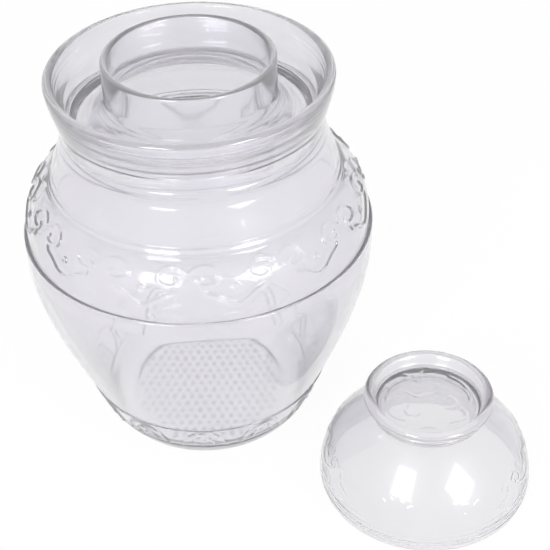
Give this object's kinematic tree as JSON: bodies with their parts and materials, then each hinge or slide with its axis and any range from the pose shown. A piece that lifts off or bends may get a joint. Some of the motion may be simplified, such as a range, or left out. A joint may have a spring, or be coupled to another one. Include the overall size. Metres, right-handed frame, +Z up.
{
  "type": "fermentation jar",
  "caption": "Clear glass fermentation jar with a water moat round its neck and a loose bowl lid that stands rim down beside it.",
  "frame": {"origin": "centre of the jar's flat base, on the jar's axis, where it stands", "axes": "+Z up along the jar's axis, +X from the jar towards the lid set down beside it, +Y completes the right hand"},
  "size_m": [0.3287, 0.2108, 0.252],
  "materials": {
    "jar_glass": "clear pressed soda-lime glass, fire polished",
    "moat_glass": "clear pressed soda-lime glass, fire polished",
    "lid_glass": "clear pressed soda-lime glass, fire polished"
  },
  "bodies": {
    "jar": {"jar_body": "jar_glass", "water_moat": "moat_glass"},
    "lid": {"bowl_lid": "lid_glass"}
  },
  "joints": [
    {"name": "lid_lift", "type": "slide", "parent": "jar", "child": "lid", "axis": [0.2588, 0, 0.9659], "range_m": [0, 0.27]}
  ]
}
